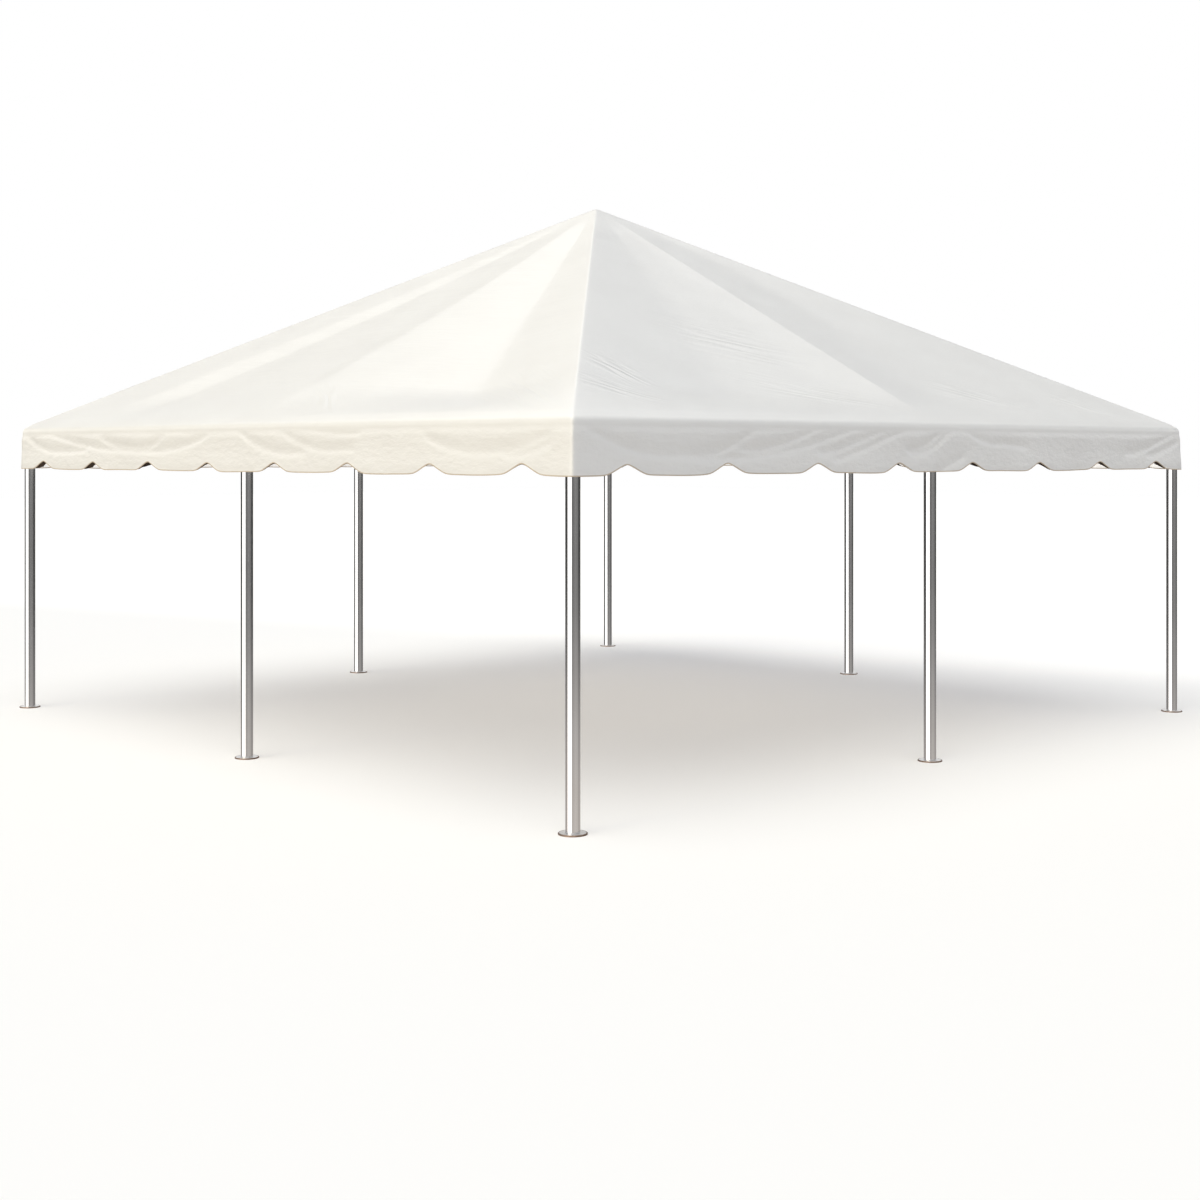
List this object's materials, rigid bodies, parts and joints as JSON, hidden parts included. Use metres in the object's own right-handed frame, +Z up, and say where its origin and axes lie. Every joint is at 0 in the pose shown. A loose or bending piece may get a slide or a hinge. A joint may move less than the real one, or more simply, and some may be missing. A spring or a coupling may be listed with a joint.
{
  "type": "frame marquee tent",
  "caption": "Square frame marquee with a pyramid canopy, scalloped valance, tube legs at corners and mid sides, and an open tube frame inside.",
  "frame": {"origin": "on the ground under the crown, at the centre of the plan", "axes": "+Z up, +X to the right and -Y to the front; the four sides are alike"},
  "size_m": [6.156, 6.156, 3.7245],
  "materials": {
    "tube": "polished",
    "steel": "satin",
    "canopy": "matte coated cloth"
  },
  "bodies": {
    "root": {"base_plate_back_left": "steel", "base_plate_back_middle": "steel", "base_plate_back_right": "steel", "base_plate_front_left": "steel", "base_plate_front_middle": "steel", "base_plate_front_right": "steel", "base_plate_left_middle": "steel", "base_plate_right_middle": "steel", "corner_fitting_back_left": "steel", "corner_fitting_back_right": "steel", "corner_fitting_front_left": "steel", "corner_fitting_front_right": "steel", "crown_fitting": "steel", "eave_rail_back_left": "tube", "eave_rail_back_right": "tube", "eave_rail_front_left": "tube", "eave_rail_front_right": "tube", "eave_rail_left_back": "tube", "eave_rail_left_front": "tube", "eave_rail_right_back": "tube", "eave_rail_right_front": "tube", "hip_rafter_back_left": "tube", "hip_rafter_back_right": "tube", "hip_rafter_front_left": "tube", "hip_rafter_front_right": "tube", "leg_back_left": "tube", "leg_back_middle": "tube", "leg_back_right": "tube", "leg_front_left": "tube", "leg_front_middle": "tube", "leg_front_right": "tube", "leg_left_middle": "tube", "leg_right_middle": "tube", "middle_rafter_back": "tube", "middle_rafter_front": "tube", "middle_rafter_left": "tube", "middle_rafter_right": "tube", "roof_panel_back": "canopy", "roof_panel_front": "canopy", "roof_panel_left": "canopy", "roof_panel_right": "canopy", "side_fitting_back": "steel", "side_fitting_front": "steel", "side_fitting_left": "steel", "side_fitting_right": "steel", "valance_back": "canopy", "valance_front": "canopy", "valance_left": "canopy", "valance_right": "canopy"}
  },
  "joints": []
}
